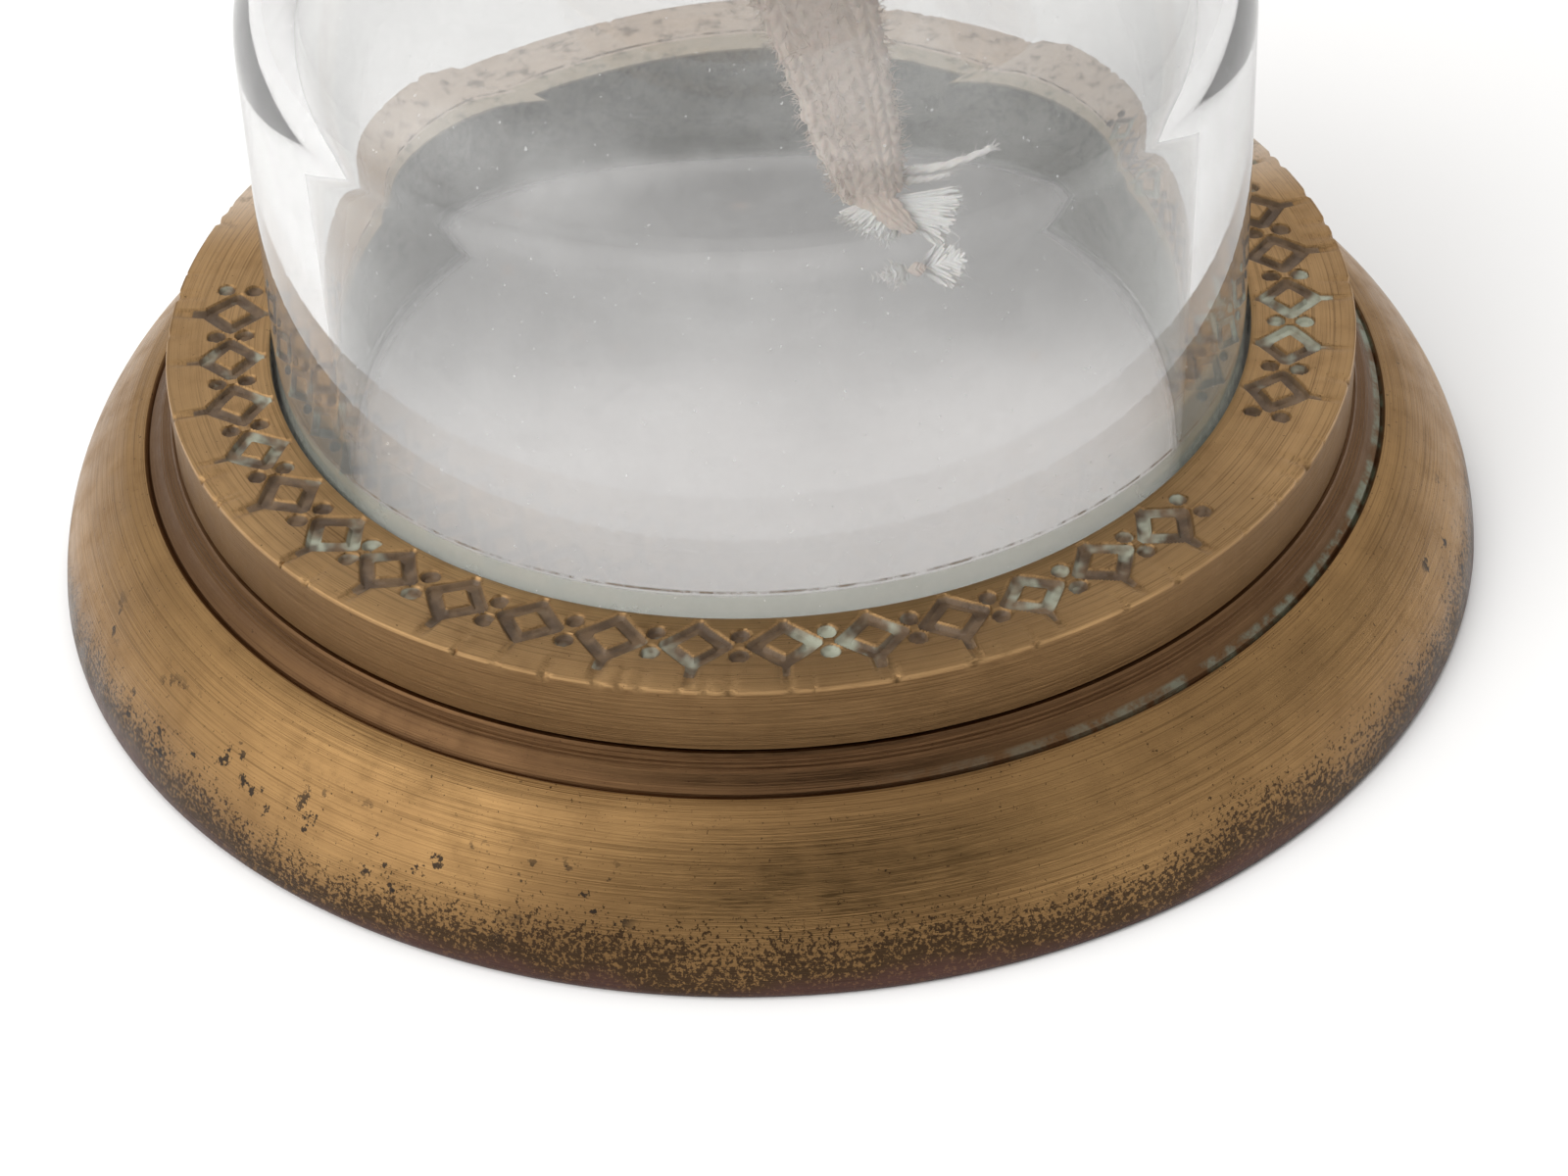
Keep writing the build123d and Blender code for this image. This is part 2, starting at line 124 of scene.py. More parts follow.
def world_light():
    """A pale tent, brighter behind, on both sides and high in front, with a dark zone low in front."""
    world = bpy.data.worlds.new("studio")
    bpy.context.scene.world = world
    world.use_nodes = True
    tree = world.node_tree
    direction = tree.nodes.new("ShaderNodeTexCoord").outputs["Generated"]

    def lobe(toward, full_deg, none_deg, value):
        """value towards one direction, fading to 0 between two angles from it."""
        dot = tree.nodes.new("ShaderNodeVectorMath")
        dot.operation = "DOT_PRODUCT"
        tree.links.new(direction, dot.inputs[0])
        dot.inputs[1].default_value = Vector(toward).normalized()
        fade = tree.nodes.new("ShaderNodeMapRange")
        fade.interpolation_type = "SMOOTHSTEP"
        tree.links.new(dot.outputs["Value"], fade.inputs["Value"])
        fade.inputs["From Min"].default_value = math.cos(math.radians(none_deg))
        fade.inputs["From Max"].default_value = math.cos(math.radians(full_deg))
        fade.inputs["To Max"].default_value = value
        return fade.outputs[0]

    def join(operation, first, second):
        node = tree.nodes.new("ShaderNodeMath")
        node.operation = operation
        for socket, value in zip(node.inputs, (first, second)):
            if isinstance(value, float):
                socket.default_value = value
            else:
                tree.links.new(value, socket)
        return node.outputs[0]

    strength = TENT_STRENGTH
    for toward, full, none, value in TENT:
        strength = join("ADD", strength, lobe(toward, full, none, value))
    dark = join("SUBTRACT", 1.0, lobe(*DARK_FRONT))
    tree.links.new(join("MULTIPLY", strength, dark), tree.nodes["Background"].inputs["Strength"])
    tree.nodes["Background"].inputs["Color"].default_value = TENT_COLOUR


def studio():
    """A white table under the tent, and two soft lights that cast the shadows."""
    bpy.context.scene.view_settings.view_transform = "Standard"
    world_light()
    area_light("left_light", (-0.38, -0.42, 0.52), (0.5, 0.5), 2.7)
    area_light("top_light", (0.05, 0.10, 0.8), (0.7, 0.7), 2.1)

    bpy.ops.mesh.primitive_plane_add(size=FLOOR_SIZE)
    floor = bpy.context.object
    floor.name = "floor"
    material = bpy.data.materials.new("floor_white")
    material.use_nodes = True
    shader = material.node_tree.nodes["Principled BSDF"]
    shader.inputs["Base Color"].default_value = FLOOR_WHITE
    shader.inputs["Roughness"].default_value = 0.7
    shader.inputs["Specular IOR Level"].default_value = 0.2
    floor.data.materials.append(material)


# ---------------------------------------------------------------- shader helpers
class Shader:
    """A node material, with short calls for what the materials below are made of."""

    def __init__(self, name):
        self.material = bpy.data.materials.new(name)
        self.material.use_nodes = True
        self.tree = self.material.node_tree
        self.surface = self.tree.nodes["Principled BSDF"]
        self.coords = self.node("ShaderNodeTexCoord").outputs["Object"]

    def node(self, kind, **settings):
        made = self.tree.nodes.new(kind)
        for key, value in settings.items():
            setattr(made, key, value)
        return made

    def put(self, socket, value):
        """Joins value to a socket, or sets it there if it is a number or colour."""
        if isinstance(value, bpy.types.NodeSocket):
            self.tree.links.new(value, socket)
        else:
            socket.default_value = value

    def set(self, name, value):
        self.put(self.surface.inputs[name], value)

    def maths(self, operation, a, b=0.0):
        made = self.node("ShaderNodeMath", operation=operation)
        self.put(made.inputs[0], a)
        self.put(made.inputs[1], b)
        return made.outputs[0]

    def times(self, a, b):
        return self.maths("MULTIPLY", a, b)

    def plus(self, a, b):
        return self.maths("ADD", a, b)

    def part(self, axis):
        """One coordinate of a point on the piece, in mm."""
        split = self.node("ShaderNodeSeparateXYZ")
        self.put(split.inputs[0], self.coords)
        return self.times(split.outputs[axis], 1 / MM)

    def radius(self, across=("X", "Y")):
        a, b = (self.part(axis) for axis in across)
        return self.maths("SQRT", self.plus(self.times(a, a), self.times(b, b)))

    def step(self, value, low_edge, high_edge):
        """0 below the first edge and 1 above the second, or the other way round if they are swapped."""
        made = self.node("ShaderNodeMapRange", interpolation_type="SMOOTHSTEP")
        swapped = low_edge > high_edge
        self.put(made.inputs["Value"], value)
        made.inputs["From Min"].default_value = min(low_edge, high_edge)
        made.inputs["From Max"].default_value = max(low_edge, high_edge)
        made.inputs["To Min"].default_value = 1.0 if swapped else 0.0
        made.inputs["To Max"].default_value = 0.0 if swapped else 1.0
        return made.outputs[0]

    def between(self, value, a, b, soft=0.2):
        """1 where value lies from a to b, with soft edges."""
        return self.times(self.step(value, a - soft, a + soft), self.step(value, b + soft, b - soft))

    def noise(self, per_mm, detail=3.0, roughness=0.55, seed=0.0, distortion=0.0):
        """Noise from about 0 to 1, with per_mm lumps in each mm."""
        made = self.node("ShaderNodeTexNoise", noise_dimensions="4D")
        self.put(made.inputs["Vector"], self.coords)
        made.inputs["W"].default_value = seed
        made.inputs["Scale"].default_value = per_mm / MM
        made.inputs["Detail"].default_value = detail
        made.inputs["Roughness"].default_value = roughness
        made.inputs["Distortion"].default_value = distortion
        return made.outputs["Fac"]

    def turned_lines(self, per_mm, run_mm=14.0, axis="Z"):
        """Noise drawn out round the turning axis, as a lathe tool or a polishing cloth leaves it."""
        a, b = {"Z": ("X", "Y"), "X": ("Y", "Z")}[axis]
        x, y = self.part(a), self.part(b)
        radius = self.radius((a, b))
        vector = self.node("ShaderNodeCombineXYZ")
        self.put(vector.inputs[0], self.times(radius, per_mm))
        self.put(vector.inputs[1], self.times(self.part(axis), per_mm))
        self.put(vector.inputs[2], self.times(x, 1 / run_mm))
        made = self.node("ShaderNodeTexNoise", noise_dimensions="4D")
        self.put(made.inputs["Vector"], vector.outputs[0])
        self.put(made.inputs["W"], self.times(y, 1 / run_mm))
        made.inputs["Scale"].default_value = 1.0
        made.inputs["Detail"].default_value = 4.0
        made.inputs["Roughness"].default_value = 0.65
        return made.outputs["Fac"]

    def mix(self, share, a, b):
        made = self.node("ShaderNodeMix", data_type="RGBA", blend_type="MIX")
        self.put(made.inputs["Factor"], share)
        self.put(made.inputs[6], a)
        self.put(made.inputs[7], b)
        return made.outputs[2]

    def bump(self, height, mm):
        made = self.node("ShaderNodeBump")
        made.inputs["Distance"].default_value = mm * MM
        self.put(made.inputs["Height"], height)
        return made.outputs[0]


def rgb(red, green, blue):
    return (red, green, blue, 1.0)


# ---------------------------------------------------------------- brass
GOLD = rgb(0.44, 0.262, 0.108)
TAN = rgb(0.335, 0.196, 0.082)
BROWN = rgb(0.12, 0.066, 0.028)
DARK = rgb(0.035, 0.022, 0.015)
VERDIGRIS = rgb(0.30, 0.36, 0.29)


def aged_brass(name, light=GOLD, dull=TAN, tarnish=0.5, axis="Z", rough=0.24, lines=1.0):
    """Satin brass with lathe lines, uneven tarnish and fine dark specks. Returns the shader and its
    colour, for more to be laid over it."""
    s = Shader(name)
    s.set("Metallic", 1.0)
    s.set("Anisotropic", 0.45)
    fine = s.turned_lines(9.0, 20.0, axis)
    broad = s.turned_lines(2.2, 30.0, axis)
    cloud = s.noise(0.055, 4.0, 0.6, seed=3.1)
    patch = s.noise(0.33, 4.0, 0.62, seed=7.7)
    colour = s.mix(s.step(cloud, 0.36, 0.64), light, dull)
    colour = s.mix(s.times(s.step(broad, 0.42, 0.68), 0.5 * lines), colour, dull)
    colour = s.mix(s.times(s.step(patch, 0.52, 0.80), 0.6 * tarnish), colour, BROWN)
    colour = s.mix(s.times(s.step(fine, 0.46, 0.66), 0.5 * lines), colour, BROWN)
    speck = s.step(s.noise(3.1, 2.0, 0.5, seed=1.3), 0.69, 0.74)
    colour = s.mix(s.times(speck, 0.7), colour, DARK)
    haze = s.times(s.step(patch, 0.35, 0.75), 0.16)
    s.set("Roughness", s.plus(s.plus(haze, rough), s.times(fine, 0.12)))
    tangent = s.node("ShaderNodeTangent", direction_type="RADIAL", axis=axis)
    s.set("Tangent", tangent.outputs[0])
    height = s.plus(fine, s.times(broad, 0.8))
    s.set("Normal", s.bump(height, 0.05 * lines))
    s.set("Base Color", colour)
    return s, colour


def foot_brass():
    """The foot: gold-brown, pitted dark low down, with a purple-brown rim and a dirty cove."""
    s, colour = aged_brass("foot_brass", tarnish=0.35)
    z = s.part("Z")
    radius = s.radius()
    reach = s.noise(0.05, 3.0, 0.6, seed=9.0)
    level = s.plus(z, s.times(s.maths("SUBTRACT", reach, 0.5), -9.0))
    pits_here = s.step(level, 8.5, 1.5)
    speckle = s.noise(2.6, 3.0, 0.72, seed=2.0)
    pits = s.step(s.plus(speckle, s.times(pits_here, 0.22)), 0.64, 0.68)
    stain = s.times(s.step(s.noise(0.05, 2.0, 0.5, seed=5.1), 0.49, 0.55),
                    s.step(s.noise(0.42, 4.0, 0.72, seed=5.5), 0.585, 0.62))
    stain = s.times(stain, s.between(z, 2.5, 10.0, 1.5))
    colour = s.mix(s.times(pits_here, 0.6), colour, BROWN)
    colour = s.mix(s.times(pits, 0.85), colour, DARK)
    colour = s.mix(s.times(stain, 0.9), colour, rgb(0.022, 0.02, 0.02))
    colour = s.mix(s.times(s.step(level, 2.2, 0.2), 0.7), colour, rgb(0.10, 0.05, 0.045))
    cove = s.times(s.step(radius, 55.1, 54.6), s.step(z, 13.0, 13.6))
    colour = s.mix(s.times(cove, 0.75), colour, rgb(0.11, 0.055, 0.03))
    green = s.times(s.between(radius, 53.9, 54.75, 0.15), s.step(z, 13.0, 13.4))
    green = s.times(green, s.step(s.noise(0.30, 4.0, 0.7, seed=4.2), 0.40, 0.60))
    green = s.times(green, s.step(s.part("X"), 0.0, 50.0))
    colour = s.mix(s.times(green, 0.75), colour, VERDIGRIS)
    s.set("Base Color", colour)
    return s.material


def ring_brass():
    """The ring: warmer and cleaner on top, darker down its side, with dirt and deposit in the border, pale
    dust and dark mottling behind the font, and grime and painted shade in its bore."""
    s, colour = aged_brass("ring_brass", light=rgb(0.54, 0.335, 0.155), dull=rgb(0.43, 0.265, 0.122),
                           tarnish=0.3, rough=0.30)
    z = s.part("Z")
    radius = s.radius()
    side = s.step(z, RING_TOP - 0.25, RING_TOP - 0.6)
    colour = s.mix(s.times(side, 0.65), colour, BROWN)
    at_back = s.step(s.part("Y"), 12.0, 26.0)
    mottling = s.times(at_back, s.step(s.noise(0.45, 5.0, 0.72, seed=14.0), 0.50, 0.64))
    dust = s.times(at_back, s.step(z, RING_TOP - 0.4, RING_TOP - 0.1))
    colour = s.mix(s.times(dust, 0.75), colour, rgb(0.70, 0.61, 0.53))
    colour = s.mix(s.times(mottling, 0.65), colour, rgb(0.10, 0.075, 0.055))
    cut = s.times(s.step(z, RING_TOP - 0.06, RING_TOP - 0.25), s.between(radius, 43.4, 50.2, 0.1))
    uneven = s.step(s.noise(0.5, 3.0, seed=6.0), 0.4, 0.62)
    grime = s.mix(uneven, rgb(0.055, 0.035, 0.022), rgb(0.13, 0.085, 0.05))
    colour = s.mix(s.times(cut, 0.9), colour, grime)
    deposit = s.times(cut, s.step(s.noise(0.09, 4.0, 0.7, seed=12.0), 0.52, 0.62))
    colour = s.mix(s.times(deposit, 0.75), colour, rgb(0.42, 0.45, 0.36))
    # painted shade and grime: the bore's brass is painted grey to near black, darkest and patchy up towards
    # the rim, for the shade on the recess wall and its dirt
    bore = s.times(s.step(radius, FONT_R + 1.0, FONT_R + 0.5), s.step(z, RING_TOP, RING_TOP - 0.5))
    dirt = s.times(s.step(s.noise(0.6, 5.0, 0.75, seed=8.0), 0.47, 0.56), s.step(z, 11.0, 20.0))
    colour = s.mix(bore, colour, s.mix(dirt, rgb(0.26, 0.235, 0.22), rgb(0.015, 0.013, 0.012)))
    s.set("Base Color", colour)
    bare = s.maths("SUBTRACT", 1.0, s.times(dust, 0.7))
    s.set("Metallic", s.times(s.step(cut, 0.9, 0.3), bare))
    return s.material


# ---------------------------------------------------------------- turned meshes
def arc(start, middle, end, count):
    """Points on the circle through three points of a half section, without the last one."""
    (ax, ay), (bx, by), (cx, cy) = start, middle, end
    d = 2 * (ax * (by - cy) + bx * (cy - ay) + cx * (ay - by))
    a2, b2, c2 = ax * ax + ay * ay, bx * bx + by * by, cx * cx + cy * cy
    x = (a2 * (by - cy) + b2 * (cy - ay) + c2 * (ay - by)) / d
    y = (a2 * (cx - bx) + b2 * (ax - cx) + c2 * (bx - ax)) / d
    radius = math.hypot(ax - x, ay - y)
    first, mid, last = (math.atan2(q - y, p - x) for p, q in (start, middle, end))
    sweep = (last - first) % (2 * math.pi)
    if (mid - first) % (2 * math.pi) > sweep:
        sweep -= 2 * math.pi
    points = []
    for i in range(count):
        angle = first + sweep * i / count
        points.append((x + radius * math.cos(angle), y + radius * math.sin(angle)))
    return points


def rounded(points, steps):
    """The outline with its corners rounded: a point's third value is its corner's radius."""
    out = []
    for i, point in enumerate(points):
        if len(point) < 3 or not point[2]:
            out.append((point[0], point[1]))
            continue
        here = np.array(point[:2], float)
        back = np.array(points[i - 1][:2], float) - here
        on = np.array(points[(i + 1) % len(points)][:2], float) - here
        back_length, on_length = np.linalg.norm(back), np.linalg.norm(on)
        back, on = back / back_length, on / on_length
        half = math.acos(max(-1.0, min(1.0, float(back @ on)))) / 2
        reach = min(point[2] / math.tan(half), 0.49 * back_length, 0.49 * on_length)
        radius = reach * math.tan(half)
        centre = here + (back + on) / np.linalg.norm(back + on) * radius / math.sin(half)
        a, b = here + back * reach - centre, here + on * reach - centre
        whole = math.acos(max(-1.0, min(1.0, float(a @ b) / radius**2)))
        for k in range(steps + 1):
            t = k / steps
            spot = (math.sin((1 - t) * whole) * a + math.sin(t * whole) * b) / math.sin(whole) + centre
            out.append((float(spot[0]), float(spot[1])))
    return out


def mesh_object(name, verts, faces, material, sharp=32.0, closed=True):
    """A smooth mesh, sharp over a given angle. A closed one has its faces turned outwards."""
    mesh = bpy.data.meshes.new(name)
    mesh.from_pydata(verts, [], faces)
    if closed:
        bm = bmesh.new()
        bm.from_mesh(mesh)
        bmesh.ops.recalc_face_normals(bm, faces=bm.faces)
        bm.to_mesh(mesh)
        bm.free()
    mesh.shade_smooth()
    if sharp:
        mesh.set_sharp_from_angle(angle=math.radians(sharp))
    mesh.materials.append(material)
    piece = bpy.data.objects.new(name, mesh)
    bpy.context.scene.collection.objects.link(piece)
    return piece


def lathe(name, outline, material, count=ROUND, shape=None, sharp=32.0):
    """A closed half section turned about Z. shape moves a point, given its radius, height and angle."""
    verts, rings = [], []
    for radius, height in outline:
        if radius < 1e-6:
            rings.append([len(verts)])
            verts.append((0, 0, height * MM))
            continue
        rings.append(list(range(len(verts), len(verts) + count)))
        for i in range(count):
            angle = 2 * math.pi * i / count
            r, z = (radius, height) if shape is None else shape(radius, height, angle)
            verts.append((r * math.sin(angle) * MM, -r * math.cos(angle) * MM, z * MM))
    faces = []
    for a, b in zip(rings, rings[1:] + rings[:1]):
        if len(a) == 1 and len(b) == 1:
            continue
        for i in range(count):
            j = (i + 1) % count
            if len(a) == 1:
                faces.append((a[0], b[i], b[j]))
            elif len(b) == 1:
                faces.append((a[i], b[0], a[j]))
            else:
                faces.append((a[i], b[i], b[j], a[j]))
    return mesh_object(name, verts, faces, material, sharp)


def place(piece, body, slot, *nodes):
    """The piece rides on a body and stands for CAD nodes. Its slot is not used."""
    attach(piece, body)
    if nodes:
        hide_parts(*nodes)


# ---------------------------------------------------------------- foot and ring
def foot():
    """The moulded flange, with its lip, groove and cove, and its hollow underside."""
    bore = 45.7
    shelf_inner, shelf_outer, shelf_top = 30, 49.5, 5.2
    hollow_outer, hollow_top = 59.3, 8.3
    plate_r, plate_top = 61.0, 3.05
    edge = [(FOOT_R - 0.6, 0.0), (FOOT_R - 0.2, 0.15)]
    moulding = arc((FOOT_R, 0.6), (61.55, 7.3), (56.6, 13.1), 20)
    lip = [(56.6, 13.1), (55.2, 13.68), (54.95, 13.74), (54.8, 13.66)]
    cove = [(54.6, 13.45), (54.45, 13.8), (54.2, 13.95), (53.8, 14.25), (53.5, 14.8)]
    fine_band = [(53.4, 15.0), (53.2, 15.12), (53.16, 15.3), (52.96, 15.36), (52.92, 15.56), (52.72, 15.62),
                 (52.68, 15.82), (52.4, 15.95), (52.25, FOOT_TOP)]
    inside = [(bore, FOOT_TOP), (bore, shelf_top), (shelf_inner, shelf_top), (shelf_inner, plate_top),
              (shelf_outer, plate_top), (shelf_outer, hollow_top), (57.6, hollow_top), (hollow_outer, 6.5),
              (hollow_outer, plate_top), (plate_r, plate_top), (plate_r, 0.0)]
    piece = lathe("foot", edge + moulding + lip + cove + fine_band + inside, foot_brass())
    place(piece, "base", "foot_brass", "base_foot")


def border_depth():
    """How deep the engraved border is at a radius and angle: lozenges with a pair of dots between
    them, each cut by hand a little differently."""
    chance = random.Random(41)
    middle, pitch = 46.4, math.radians(8.6)
    wide, tall = 2.45, 2.25                  # from a lozenge's middle to its points
    dot_out, dot_r = 1.25, 0.15
    deepest, half_width, side_width = 0.55, 0.66, 0.22       # of a groove
    unmarked = 9.0                           # far enough from any mark to leave the metal flat
    runs = [(-98.0, 48.0), (66.0, 118.0)]
    marks = []
    for start, end in runs:
        count = round(math.radians(end - start) / pitch)
        for i in range(count):
            marks.append((math.radians(start) + (i + 0.5) * pitch, [chance.uniform(-1, 1) for _ in range(4)]))

    def to_segment(x, y, ax, ay, bx, by):
        along_x, along_y = bx - ax, by - ay
        t = ((x - ax) * along_x + (y - ay) * along_y) / (along_x**2 + along_y**2)
        t = max(0.0, min(1.0, t))
        return math.hypot(x - ax - t * along_x, y - ay - t * along_y)

    def depth(radius, angle):
        nearest = unmarked
        for at, jitter in marks:
            off = (angle - at + math.pi) % (2 * math.pi) - math.pi
            if abs(off) > 0.6 * pitch:
                continue
            x = off * middle + 0.12 * jitter[0]
            y = radius - middle + 0.10 * jitter[1]
            this_wide, this_tall = wide * (1 + 0.05 * jitter[2]), tall * (1 + 0.05 * jitter[3])
            lozenge = to_segment(abs(x), abs(y), this_wide, 0, 0, this_tall)
            dot = math.hypot(abs(x) - pitch * middle / 2, abs(y) - dot_out) - dot_r
            nearest = min(nearest, lozenge, dot)
        return deepest * max(0.0, min(1.0, (half_width - nearest) / side_width))

    return depth


def ring():
    """The flanged cup, its flat top engraved round the front and the right, and plain behind."""
    depth = border_depth()
    bore = FONT_R + FONT_GAP
    spigot_r, underside = 45.6, CUP_FLOOR - 2.35
    band = [43.7 + 0.2 * i for i in range(28)]       # radii, close enough together for the border
    edge_zone = 0.5                                  # the rim's corner, where the nicks are
    chance = random.Random(5)
    nicks = [(chance.uniform(0, 2 * math.pi), chance.uniform(0.004, 0.016), chance.uniform(0.1, 0.35))
             for _ in range(70)]

    def cut(radius, height, angle):
        if height > RING_TOP - 0.001 and band[0] - 0.01 < radius < band[-1] + 0.01:
            return radius, height - depth(radius, angle)
        if radius > RING_R - edge_zone and height > RING_TOP - edge_zone:
            for at, half, deep in nicks:
                off = abs((angle - at + math.pi) % (2 * math.pi) - math.pi)
                if off < half:
                    return radius - deep * (1 - off / half), height - 0.5 * deep * (1 - off / half)
        return radius, height

    outline = [(0, underside), (spigot_r, underside), (spigot_r, FOOT_TOP + 0.05)]
    outline += [(RING_R - 0.15, FOOT_TOP + 0.05), (RING_R, FOOT_TOP + 0.2)]
    outline += [(RING_R, RING_TOP - drop) for drop in (1.0, 0.6, 0.25)]
    outline += [(RING_R - 0.07, RING_TOP - 0.08), (RING_R - 0.25, RING_TOP)]
    outline += [(radius, RING_TOP) for radius in reversed(band)]
    outline += [(bore + 0.3, RING_TOP), (bore + 0.08, RING_TOP - 0.08), (bore, RING_TOP - 0.3)]
    outline += [(bore, CUP_FLOOR), (0, CUP_FLOOR)]
    piece = lathe("ring", outline, ring_brass(), count=1440, shape=cut, sharp=40.0)
    place(piece, "base", "ring_brass", "font_ring")


# ---------------------------------------------------------------- font
def hazy_glass():
    """Thick clear glass under an uneven film of dust and dried spirit, with specks and wiped streaks."""
    s = Shader("font_glass")
    s.set("IOR", 1.5)
    cloud = s.noise(0.045, 4.0, 0.6, seed=21.0, distortion=0.6)
    wipe = s.noise(0.35, 5.0, 0.7, seed=22.0)
    speck = s.step(s.noise(2.6, 1.0, 0.5, seed=23.0), 0.745, 0.77)
    film = s.plus(s.times(s.step(cloud, 0.3, 0.75), 0.055),
                   s.times(s.step(wipe, 0.35, 0.75), 0.035))
    film = s.plus(s.plus(film, 0.03), s.times(speck, 0.35))
    outside = s.step(s.radius(), FONT_R - 0.3, FONT_R - 0.1)
    z = s.part("Z")
    seat = s.times(outside, s.step(z, RING_TOP + 2.0, RING_TOP + 1.7))
    line = s.times(outside, s.between(z, RING_TOP + 2.05, RING_TOP + 2.3, 0.1))
    line = s.times(line, s.step(s.noise(0.5, 4.0, 0.7, seed=24.0), 0.35, 0.6))
    colour = s.mix(seat, rgb(0.868, 0.871, 0.871), rgb(0.60, 0.63, 0.56))
    s.set("Base Color", s.mix(line, colour, rgb(0.22, 0.17, 0.12)))
    seat_film = s.maths("SUBTRACT", 0.28, s.times(s.step(s.part("Y"), 5.0, 25.0), 0.2))
    film = s.plus(film, s.plus(s.times(seat, seat_film), s.times(line, 0.45)))
    floor = FONT_FOOT + 5.0
    settled = s.times(s.step(s.radius(), 38.0, 36.0), s.between(z, floor - 0.3, floor + 1.0, 0.3))
    film = s.plus(film, s.times(settled, 0.12))
    film = s.maths("MINIMUM", film, 0.9)
    s.set("Transmission Weight", s.maths("SUBTRACT", 1.0, film))
    s.set("Roughness", s.plus(s.times(film, 0.25), s.times(settled, 0.35)))
    return s.material


def font_outline():
    """The font's closed half section: outside from the middle of its foot up to the lip, then inside down."""
    wall, floor_t = 4.7, 5.0
    neck_r, neck_bore = 18.5, 15.2
    shoulder_bend, inner_bend = 11.0, 8.0
    foot_bend, neck_bend, lip_bend = 2.0, 3.0, 0.8
    turn = math.radians(74.0)
    rise = math.tan(math.radians(90) - turn)         # of the slope above the shoulder, per mm inwards
    shoulder = SHOULDER_START + shoulder_bend * math.tan(turn / 2)
    inner_shoulder = shoulder - 2.8
    inner_r = FONT_R - wall
    floor = FONT_FOOT + floor_t
    outer = [(0, FONT_FOOT), (FONT_R, FONT_FOOT, foot_bend), (FONT_R, shoulder, shoulder_bend),
             (neck_r, shoulder + (FONT_R - neck_r) * rise, neck_bend), (neck_r, NECK_TOP, lip_bend)]
    inner = [(neck_bore, NECK_TOP, lip_bend),
             (neck_bore, inner_shoulder + (inner_r - neck_bore) * rise, neck_bend),
             (inner_r, inner_shoulder, inner_bend), (inner_r, floor, foot_bend), (0, floor)]
    return rounded(outer + inner, steps=10)


def font():
    """The glass. It casts no shadow, or its inside would be too dark."""
    piece = lathe("font_glass", font_outline(), hazy_glass(), count=256, sharp=60.0)
    piece.visible_shadow = False
    place(piece, "font", "font_glass", "font")


# ---------------------------------------------------------------- plaster, felt and leather
def plaster():
    """Pale plaster, greyer towards the back as painted shade, and dirtier towards the rim, with a few brown
    flakes.
    """
    s = Shader("plaster")
    tone = s.step(s.noise(0.06, 4.0, 0.6, seed=31.0), 0.35, 0.7)
    # painted shade: the bed is painted from pale at the front to dark grey at the back, for the shadow at the
    # back of the cup
    back = s.step(s.plus(s.part("Y"), s.times(tone, 6.0)), -4.0, 26.0)
    colour = s.mix(back, rgb(0.96, 0.915, 0.905), rgb(0.15, 0.135, 0.13))
    dirt = s.times(s.step(s.radius(), 30.0, 43.0), s.step(s.noise(0.4, 5.0, 0.7, seed=33.0), 0.46, 0.6))
    colour = s.mix(s.times(dirt, 0.5), colour, rgb(0.22, 0.19, 0.17))
    flake = s.step(s.noise(0.42, 1.0, 0.4, seed=34.0), 0.765, 0.775)
    s.set("Base Color", s.mix(flake, colour, rgb(0.42, 0.22, 0.12)))
    s.set("Roughness", 0.8)
    s.set("Normal", s.bump(s.noise(1.2, 4.0, 0.6, seed=32.0), 0.1))
    return s.material


def felt():
    """Green baize, worn pale, with fibres lying every way."""
    s = Shader("baize")
    fibre = s.noise(5.0, 4.0, 0.75, seed=41.0, distortion=2.5)
    worn = s.step(s.noise(0.06, 4.0, 0.6, seed=42.0), 0.4, 0.7)
    colour = s.mix(fibre, rgb(0.020, 0.060, 0.034), rgb(0.055, 0.125, 0.070))
    s.set("Base Color", s.mix(s.times(worn, 0.45), colour, rgb(0.12, 0.14, 0.085)))
    s.set("Roughness", 0.95)
    s.set("Sheen Weight", 0.4)
    s.set("Normal", s.bump(fibre, 0.25))
    return s.material


def leather():
    s = Shader("leather")
    grain = s.noise(2.2, 3.0, 0.6, seed=51.0)
    s.set("Base Color", s.mix(grain, rgb(0.085, 0.045, 0.022), rgb(0.17, 0.095, 0.048)))
    s.set("Roughness", 0.6)
    s.set("Normal", s.bump(grain, 0.08))
    return s.material


def baize_pad():
    """The felt disc under the foot, its surface lumpy and its cut edge a little uneven."""
    chance = random.Random(61)
    pad_r, top = high("baize_pad").x, high("baize_pad").z
    edge_zone, ring_step, lump_size = 0.5, 1.2, 0.035
    waves = [(chance.randint(3, 60), chance.uniform(0, PHASE), chance.uniform(0.01, 0.04))
             for _ in range(14)]

    def shape(radius, height, angle):
        edge, lump = 0.0, 0.0
        if radius > pad_r - edge_zone:
            edge = abs(sum(size * math.sin(turns * angle + start) for turns, start, size in waves))
        if height < 0.1:
            ripple = math.sin(radius * 7.3 + 3 * math.sin(angle * 29)) * math.sin(angle * radius * 1.9)
            lump = lump_size * (1 + ripple)
        return radius - edge, height + lump

    outline = [(0, top), (pad_r - 0.15, top), (pad_r, top - 0.3), (pad_r, 0.35), (pad_r - 0.2, 0.1)]
    outline += [(pad_r - edge_zone - ring_step * i, 0.0) for i in range(50)]
    outline += [(0, 0.0)]
    piece = lathe("baize", outline, felt(), count=360, shape=shape, sharp=0)
    place(piece, "base", "baize", "baize_pad")


